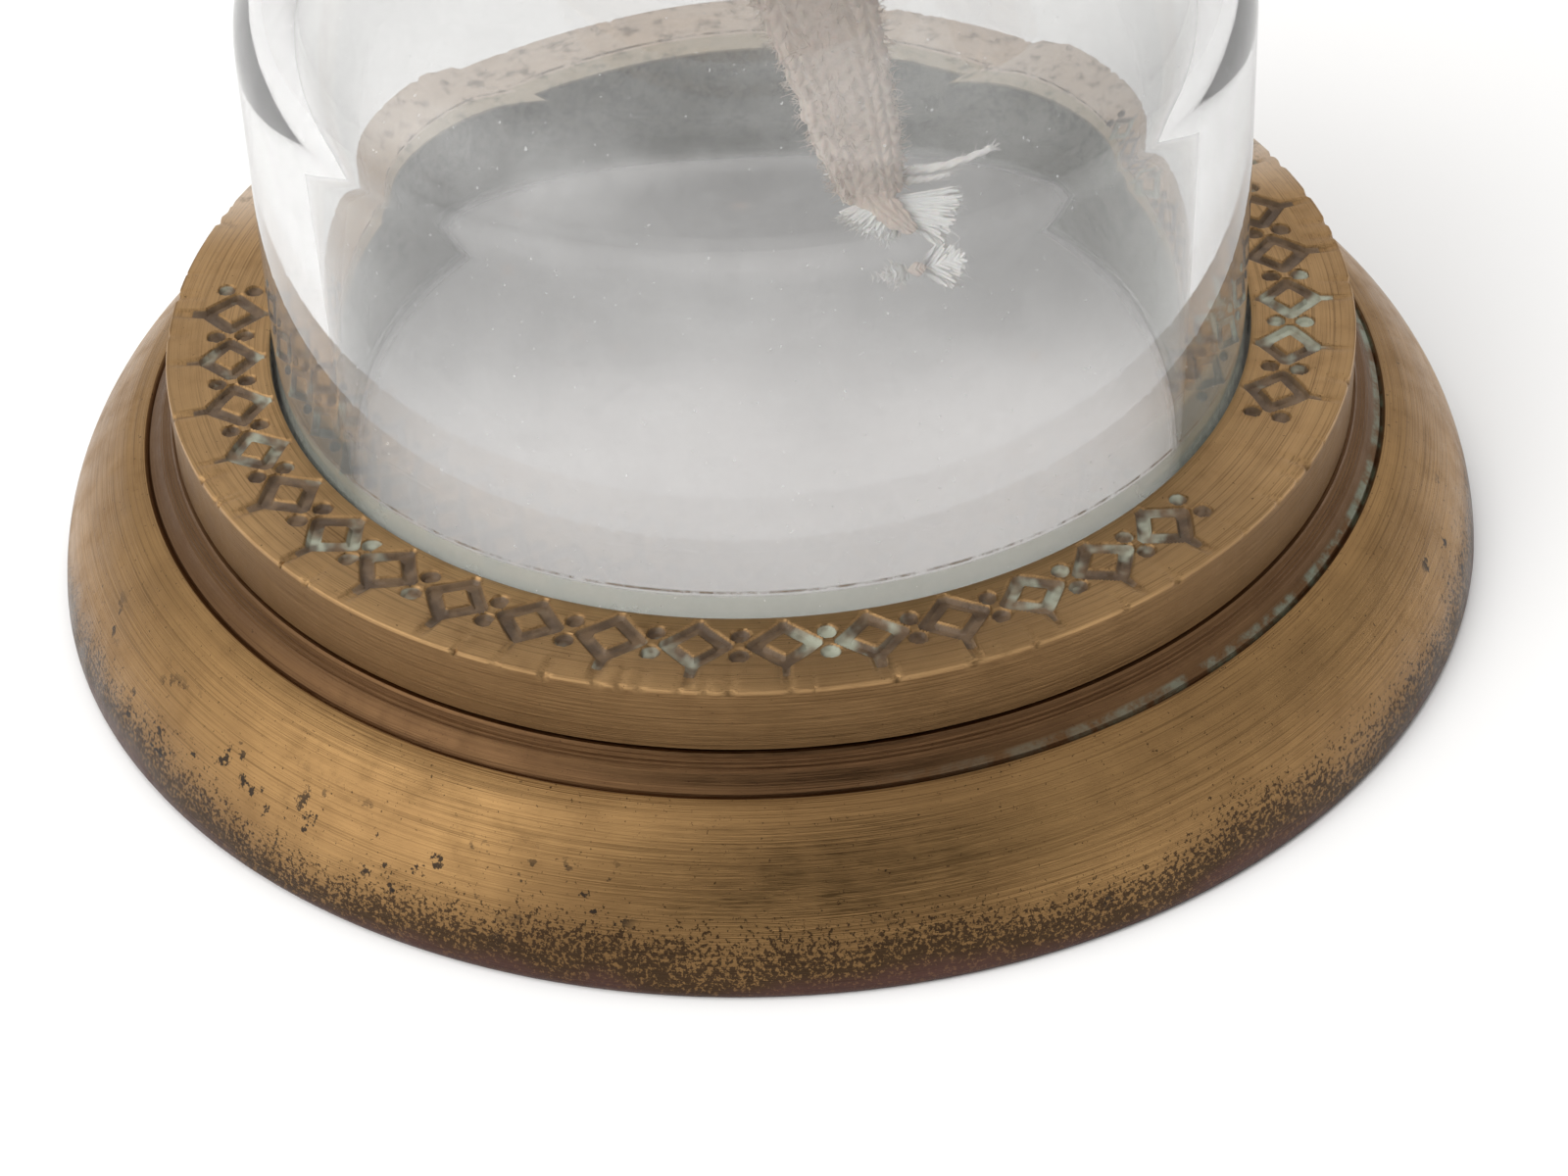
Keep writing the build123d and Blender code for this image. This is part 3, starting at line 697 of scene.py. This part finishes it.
def washer():
    """The collar's leather washer, its outer edge a little wavy."""
    inner, outer = 15.5, high("collar_washer").x
    bottom, top = low("collar_washer").z, high("collar_washer").z

    def shape(radius, height, angle):
        if radius > outer - 0.3:
            radius += 0.05 * math.sin(angle * 23) + 0.04 * math.sin(angle * 61)
        return radius, height

    outline = [(inner, bottom), (outer - 0.2, bottom), (outer, bottom + 0.2),
               (outer + 0.04, (bottom + top) / 2), (outer, top - 0.2), (outer - 0.2, top), (inner, top)]
    place(lathe("washer", outline, leather(), shape=shape), "font", "leather", "collar_washer")


# ---------------------------------------------------------------- wick
WICK_W = 10.5
WICK_T = 2.2
WICK_ROUTE = [(0, 0, 106.5), (0, 0, 71), (5.4, 0, 56), (10.4, 0, 32.5)]
KNOT = Vector((11.8, -0.8, 31.5))
TUBE_CLEAR = 66.0        # below the burner's plug, wherever the wick is wound to
RIB_W = 1.30             # of the plait: one rib's width, and one strand's along it
STRAND_W = 1.55


def route_points(points, name):
    """Points along a smooth curve near the given ones, in mm."""
    curve = bpy.data.curves.new(name, "CURVE")
    curve.dimensions = "3D"
    spline = curve.splines.new("NURBS")
    spline.points.add(len(points) - 1)
    for point, at in zip(spline.points, points):
        point.co = (at[0] * MM, at[1] * MM, at[2] * MM, 1)
    spline.order_u = 3
    spline.use_endpoint_u = True
    spline.resolution_u = 48
    holder = bpy.data.objects.new(name, curve)
    bpy.context.scene.collection.objects.link(holder)
    line = bpy.data.meshes.new_from_object(holder.evaluated_get(bpy.context.evaluated_depsgraph_get()))
    found = [v.co / MM for v in line.vertices]
    bpy.data.objects.remove(holder)
    return found


def evenly(points, step):
    """The same line as points a given step apart, each with how far along it is, and the line's length."""
    along = [0.0]
    for a, b in zip(points, points[1:]):
        along.append(along[-1] + (b - a).length)
    count = round(along[-1] / step)
    out, i = [], 0
    for k in range(count + 1):
        at = along[-1] * k / count
        while i < len(points) - 2 and along[i + 1] < at:
            i += 1
        share = (at - along[i]) / (along[i + 1] - along[i])
        out.append((points[i].lerp(points[i + 1], share), at))
    return out, along[-1]


def cotton(name, dark, pale):
    """Undyed cotton, faintly pink-cream, with faint darker stains, charred at its flame end."""
    s = Shader(name)
    s.set("Subsurface Weight", 0.12)
    s.set("Subsurface Scale", 0.8 * MM)
    s.set("Roughness", 0.9)
    s.set("Sheen Weight", 0.3)
    fibre = s.noise(3.2, 4.0, 0.7, seed=71.0, distortion=1.5)
    stain = s.step(s.noise(0.12, 3.0, 0.6, seed=72.0), 0.45, 0.75)
    colour = s.mix(fibre, dark, pale)
    colour = s.mix(s.times(stain, 0.3), colour, rgb(0.58, 0.45, 0.37))
    char = s.step(s.plus(s.part("Z"), s.times(fibre, 1.6)), 105.4, 106.6)
    s.set("Base Color", s.mix(s.times(char, 0.9), colour, rgb(0.035, 0.028, 0.024)))
    s.set("Normal", s.bump(fibre, 0.12))
    return s.material


def braid(across, along):
    """How far the plaited face stands out, from 0 to 1: ribs of slanting strands, like a chevron."""
    place_in = across / RIB_W
    rib = math.floor(place_in)
    t = place_in - rib
    slant = 0.9 if rib % 2 else -0.9
    strand = abs(math.sin(math.pi * (along / STRAND_W + slant * (t - 0.5))))
    return math.sin(math.pi * t) ** 0.5 * (0.35 + 0.65 * strand**0.7)


def tube_faces(rings, around):
    """The faces of a tube made of rings of points, with a flat cap at each end."""
    faces = []
    for i in range(rings - 1):
        for k in range(around):
            j = (k + 1) % around
            a, b = i * around, (i + 1) * around
            faces.append((a + k, a + j, b + j, b + k))
    faces.append(tuple(range(around)))
    faces.append(tuple((rings - 1) * around + k for k in range(around)))
    return faces


def tape(name, line, width, thick, material, relief, around_count, seed=1):
    """A woven tape along a line of (point, distance) pairs, lying across X at its start. width and thick
    read the distance, and relief is how far the plait stands out."""
    chance = random.Random(seed)
    wobble = [(chance.uniform(0.25, 1.6), chance.uniform(0, PHASE), chance.uniform(0.03, 0.10))
              for _ in range(9)]
    edge_bow, face_bow = 0.72, 0.5           # powers that square up the oval section
    notch_deep = 0.22
    side = Vector((1, 0, 0))
    verts = []
    for i, (point, at) in enumerate(line):
        ahead = line[min(i + 1, len(line) - 1)][0] - line[max(i - 1, 0)][0]
        ahead.normalize()
        side = (side - ahead * side.dot(ahead)).normalized()
        face_way = ahead.cross(side)
        w, t = width(at) / 2, thick(at) / 2
        for k in range(around_count):
            angle = 2 * math.pi * k / around_count
            c, n = math.cos(angle), math.sin(angle)
            x = w * math.copysign(abs(c) ** edge_bow, c)
            y = t * math.copysign(abs(n) ** face_bow, n)
            sign = 1 if n >= 0 else -1
            plait = braid(x * width(0) / width(at) + 50.3, at * sign + 20) - 0.5
            lift = relief * plait * min(1.0, abs(n) * 2.5)
            edge = sum(size * math.sin(rate * at * 2 + start) for rate, start, size in wobble) * abs(c) ** 3
            notch = notch_deep * abs(math.sin(math.pi * at / STRAND_W)) * abs(c) ** 4
            x += math.copysign(1, c) * (edge * 0.6 + notch)
            y += sign * lift
            verts.append((point + side * x + face_way * y) * MM)
    return mesh_object(name, verts, tube_faces(len(line), around_count), material, sharp=0)


def fibres(name, starts, material, thin=0.045, taper=0.55, sides=3):
    """Fine bent hairs or yarns. starts gives each one's root, first direction, length and bend, in mm."""
    verts, faces = [], []
    segments = 6
    for root, way, length, bend in starts:
        way = way.normalized()
        across = way.orthogonal().normalized()
        other = way.cross(across)
        at, heading = root.copy(), way.copy()
        first = len(verts)
        for i in range(segments + 1):
            size = thin * (1.0 - taper * i / segments)
            for k in range(sides):
                angle = 2 * math.pi * k / sides
                verts.append((at + (across * math.cos(angle) + other * math.sin(angle)) * size) * MM)
            heading = (heading + bend / segments).normalized()
            at = at + heading * (length / segments)
        for i in range(segments):
            for k in range(sides):
                a, b = first + sides * i, first + sides * (i + 1)
                faces.append((a + k, a + (k + 1) % sides, b + (k + 1) % sides, b + k))
    return mesh_object(name, verts, faces, material, sharp=0, closed=False)


def any_way(chance):
    return Vector((chance.gauss(0, 1), chance.gauss(0, 1), chance.gauss(0, 1))).normalized()


def fuzz(line, width, thick, chance, count):
    """Loose hairs over the tape, thickest along its two edges."""
    out = []
    free = [i for i, (point, at) in enumerate(line[:-1]) if point.z < TUBE_CLEAR]
    for _ in range(count):
        here = chance.choice(free)
        point, at = line[here]
        ahead = (line[here + 1][0] - point).normalized()
        side = (Vector((1, 0, 0)) - ahead * ahead.x).normalized()
        face_way = ahead.cross(side)
        on_edge = chance.random() < 0.55
        off_middle = chance.uniform(0.86, 1.0) if on_edge else chance.uniform(0, 0.9)
        x = math.copysign(off_middle, chance.uniform(-1, 1))
        y = chance.uniform(-0.6, 0.6) if on_edge else math.copysign(0.95, chance.uniform(-1, 1))
        root = point + side * (x * width(at) / 2) + face_way * (y * thick(at) / 2)
        way = side * (x if on_edge else 0.2 * x) + face_way * y * 0.8 + ahead * chance.uniform(-1.2, 1.2)
        out.append((root, way, chance.uniform(0.6, 1.7), any_way(chance) * 1.3))
    return out


ROOT_SHARE = 0.42        # a brush's size at its root, as a share of its open end's


def puff_core(name, root, way, side, width, thick, length, material, chance):
    """The soft middle of a brush, ridged along it and blunt at its open end."""
    face_way = way.cross(side)
    rows, round_count = 40, 120
    core_width, core_length = 0.46, 0.92     # shares of the brush's own
    blunt_from, blunt_length = 0.7, 0.3
    ridges = [(chance.randint(7, 26), chance.uniform(0, PHASE), chance.uniform(0.005, 0.02))
              for _ in range(8)]
    verts = []
    for i in range(rows + 1):
        share = i / rows
        flare = ROOT_SHARE + (1 - ROOT_SHARE) * share
        past = max(0.0, share - blunt_from) / blunt_length
        blunt = max(0.08, math.sqrt(max(0.0, 1 - past**2.4)))
        for k in range(round_count):
            angle = 2 * math.pi * k / round_count
            ridge = 1 + share * sum(size * math.cos(turns * angle + start) for turns, start, size in ridges)
            w, t = (core_width * flare * blunt * ridge * across for across in (width, thick))
            verts.append((root + way * (core_length * length * share) + side * (w * math.cos(angle))
                          + face_way * (t * math.sin(angle))) * MM)
    return mesh_object(name, verts, tube_faces(rows + 1, round_count), material, sharp=0)


def puff(name, root, way, side, width, thick, length, material, chance):
    """A brush of cut yarn ends that opens out from its root: a soft core, yarns and fine hairs."""
    way = way.normalized()
    side = (side - way * side.dot(way)).normalized()
    face_way = way.cross(side)
    core = puff_core(name, root, way, side, width, thick, length, material, chance)
    yarns, hairs = [], []
    for _ in range(150):
        out_by, angle = chance.uniform(0.55, 1.0) ** 0.5, chance.uniform(0, 2 * math.pi)
        u, v = out_by * math.cos(angle), out_by * math.sin(angle)
        spread = side * (u * width / 2) + face_way * (v * thick / 2)
        start = root + spread * ROOT_SHARE + way * (0.05 * length)
        end = root + spread + way * (length * chance.uniform(0.86, 1.06) * (1 - 0.12 * u * u))
        yarns.append((start, end - start, (end - start).length, any_way(chance) * 0.12))
        for _ in range(4):
            spot = start.lerp(end, chance.uniform(0.3, 1.0))
            hair_way = end - start + any_way(chance) * 1.6
            hairs.append((spot, hair_way, chance.uniform(0.5, 1.4), any_way(chance) * 0.8))
    return [core, fibres(name + "_yarns", yarns, material, thin=0.26, taper=0.5, sides=8),
            fibres(name + "_hairs", hairs, material, thin=0.05)]


def strand(name, start, way, length, radius, material, chance):
    """A loose yarn of three plies that thins along its length, with its hairs."""
    rows, round_count = 60, 12
    rows_per_bend, thinning = 10, 0.45
    verts, hairs = [], []
    heading = way.normalized()
    at = start.copy()
    bends = [any_way(chance) * 0.16 for _ in range(rows // rows_per_bend)]
    for i in range(rows + 1):
        across = heading.orthogonal().normalized()
        other = heading.cross(across)
        size = radius * (1 - thinning * (i / rows))
        for k in range(round_count):
            angle = 2 * math.pi * k / round_count
            ply = 1 + 0.25 * math.cos(3 * angle + i * 0.5)
            verts.append((at + (across * math.cos(angle) + other * math.sin(angle)) * size * ply) * MM)
        for _ in range(4):
            hair_way = heading + any_way(chance) * 0.35
            hairs.append((at.copy(), hair_way, chance.uniform(0.5, 1.6), any_way(chance)))
        bend = bends[min(len(bends) - 1, i // rows_per_bend)]
        heading = (heading + bend * 0.1).normalized()
        at = at + heading * (length / rows)
    return [mesh_object(name, verts, tube_faces(rows + 1, round_count), material, sharp=0),
            fibres(name + "_hairs", hairs, material, thin=0.035)]


def knot(end, material, frayed, chance):
    """The knot: the tape narrows to a crease between two brushes of its frayed end, and two loose yarns
    leave it."""
    bend = [end + Vector((-0.3, 0, 1.4)), end + Vector((0.2, -1.2, -0.2)),
            KNOT + Vector((0.8, -2.9, -0.4)), KNOT + Vector((2.3, -3.4, -1.9))]
    crease, crease_length = evenly(route_points(bend, "crease_line"), 0.15)

    def band_width(at):
        return 4.7 - 3.7 * min(1.0, at / crease_length) ** 0.7

    def band_thick(at):
        return 2.4 - 1.4 * at / crease_length

    pieces = [tape("wick_band", crease, band_width, band_thick, material, relief=0.3, around_count=72,
                   seed=3)]
    pieces += puff("wick_puff_left", KNOT + Vector((0.2, 0.0, 0.3)), Vector((-1.9, -1.8, -2.1)),
                   Vector((5.5, -3.2, -3.9)), 6.2, 4.6, 4.0, frayed, chance)
    pieces += puff("wick_puff_right", KNOT + Vector((0.4, -0.3, -0.5)), Vector((5.15, -0.9, -1.2)),
                   Vector((-1.6, -3.1, -3.9)), 5.8, 4.2, 6.0, frayed, chance)
    loose_root = KNOT + Vector((1.2, 1.9, 2.5))
    pieces += strand("wick_loose_end", loose_root, Vector((1, 0.0, 0.03)), 8.2, 0.5, frayed, chance)
    pieces += strand("wick_loose_end_2", loose_root + Vector((0.2, -0.7, -0.9)), Vector((4, 0.6, 0.75)),
                     4.2, 0.45, frayed, chance)
    return pieces


def flame_end(top, material, chance):
    """The short cut ends that stand up out of the wick's top."""
    ends = []
    for _ in range(500):
        across = chance.uniform(-0.45, 0.45) * WICK_W
        through = chance.uniform(-0.38, 0.38) * WICK_T
        root = top + Vector((across, through, -0.5))
        way = Vector((chance.gauss(0, 0.1), chance.gauss(0, 0.1), 1))
        ends.append((root, way, chance.uniform(0.7, 1.2), any_way(chance) * 0.3))
    return fibres("wick_flame_end", ends, material, thin=0.06)


def wick():
    """The plaited wick: flat for its upper three fifths, then drawn in to its knot."""
    chance = random.Random(77)
    # painted shade: the tape's cotton is a darker, warmer copy of the frayed ends' near-white cotton, for the
    # shade that lies on the tape
    material = cotton("wick_cotton", rgb(0.58, 0.465, 0.39), rgb(0.82, 0.72, 0.645))
    frayed = cotton("wick_frayed", rgb(0.97, 0.93, 0.89), rgb(1.0, 0.99, 0.975))
    line, length = evenly(route_points(WICK_ROUTE, "wick_line"), 0.17)
    gathered_w = 5.2

    def gather(at):
        return min(1.0, max(0.0, (at - 0.60 * length) / (0.40 * length))) ** 1.4

    def width(at):
        return WICK_W + (gathered_w - WICK_W) * gather(at)

    def thick(at):
        return WICK_T - 0.3 + 1.4 * gather(at)

    body = tape("wick_tape", line, width, thick, material, relief=0.42, around_count=96)
    place(body, "wick", "wick_cotton", "wick", "wick_knot", "wick_tail")
    pieces = knot(line[-1][0], material, frayed, chance)
    pieces.append(fibres("wick_fuzz", fuzz(line, width, thick, chance, 1800), material, thin=0.055))
    pieces.append(flame_end(line[0][0], material, chance))
    for piece in pieces:
        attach(piece, "wick")


# ---------------------------------------------------------------- burner, winder and snuffer
SHARP_FROM = 30.0        # degrees between two faces
SOFTEN_FROM = 35


def finish_node(name, material, edge):
    """A carried-over piece: its own mesh, with a finish, smooth faces and softened edges."""
    piece = NODES[name]
    piece.data.materials.clear()
    piece.data.materials.append(material)
    piece.data.shade_smooth()
    piece.data.set_sharp_from_angle(angle=math.radians(SHARP_FROM))
    if edge:
        bevel = piece.modifiers.new("soft_edge", "BEVEL")
        bevel.width = edge * MM
        bevel.segments = 2
        bevel.limit_method = "ANGLE"
        bevel.angle_limit = math.radians(SOFTEN_FROM)
        bevel.harden_normals = False


def steel():
    s = Shader("pin_steel")
    s.set("Metallic", 1.0)
    rust = s.step(s.noise(0.9, 4.0, 0.65, seed=81.0), 0.52, 0.66)
    s.set("Base Color", s.mix(s.times(rust, 0.6), rgb(0.42, 0.40, 0.38), rgb(0.16, 0.09, 0.05)))
    s.set("Roughness", s.plus(0.28, s.times(rust, 0.3)))
    return s.material


def cast_iron():
    s = Shader("iron")
    s.set("Metallic", 1.0)
    lumps = s.noise(0.8, 4.0, 0.6, seed=82.0)
    s.set("Base Color", s.mix(lumps, rgb(0.05, 0.045, 0.042), rgb(0.13, 0.10, 0.08)))
    s.set("Roughness", 0.7)
    s.set("Normal", s.bump(lumps, 0.15))
    return s.material


def small_parts():
    """Everything that keeps its own mesh."""
    plain = aged_brass("plate_brass", tarnish=0.5)[0].material
    burner = aged_brass("burner_brass", tarnish=0.4)[0].material
    tube = aged_brass("tube_brass", tarnish=0.6, lines=0.3)[0].material
    screw = aged_brass("screw_brass", tarnish=0.6, lines=0.5)[0].material
    winder = aged_brass("winder_brass", tarnish=0.35, axis="X", lines=0.6)[0].material
    cap = aged_brass("cap_brass", tarnish=0.4)[0].material
    metal, iron, bed = steel(), cast_iron(), plaster()
    finishes = (
        (("base_plate",), plain, 0.1),
        (("base_weight",), iron, 0.2),
        (("seat_bed", "neck_cement"), bed, 0.0),
        (("ring_screws", "plate_screws", "deck_screws", "arm_rivets"), screw, 0.06),
        (("neck_collar", "burner_base", "cap_seat"), burner, 0.08),
        (("shaft_post", "hinge_bracket"), burner, 0.15),
        (("wick_tube",), tube, 0.08),
        (("spur_housing",), tube, 0.25),
        (("hinge_pin", "winder_shaft"), metal, 0.1),
        (("spur_wheels", "winder_knob"), winder, 0.08),
        (("knob_nut",), winder, 0.0),
        (("snuffer_cap", "cap_finial", "snuffer_arm"), cap, 0.08),
    )
    for nodes, material, edge in finishes:
        for name in nodes:
            finish_node(name, material, edge)


camera()
studio()
foot()
ring()
font()
baize_pad()
washer()
wick()
small_parts()
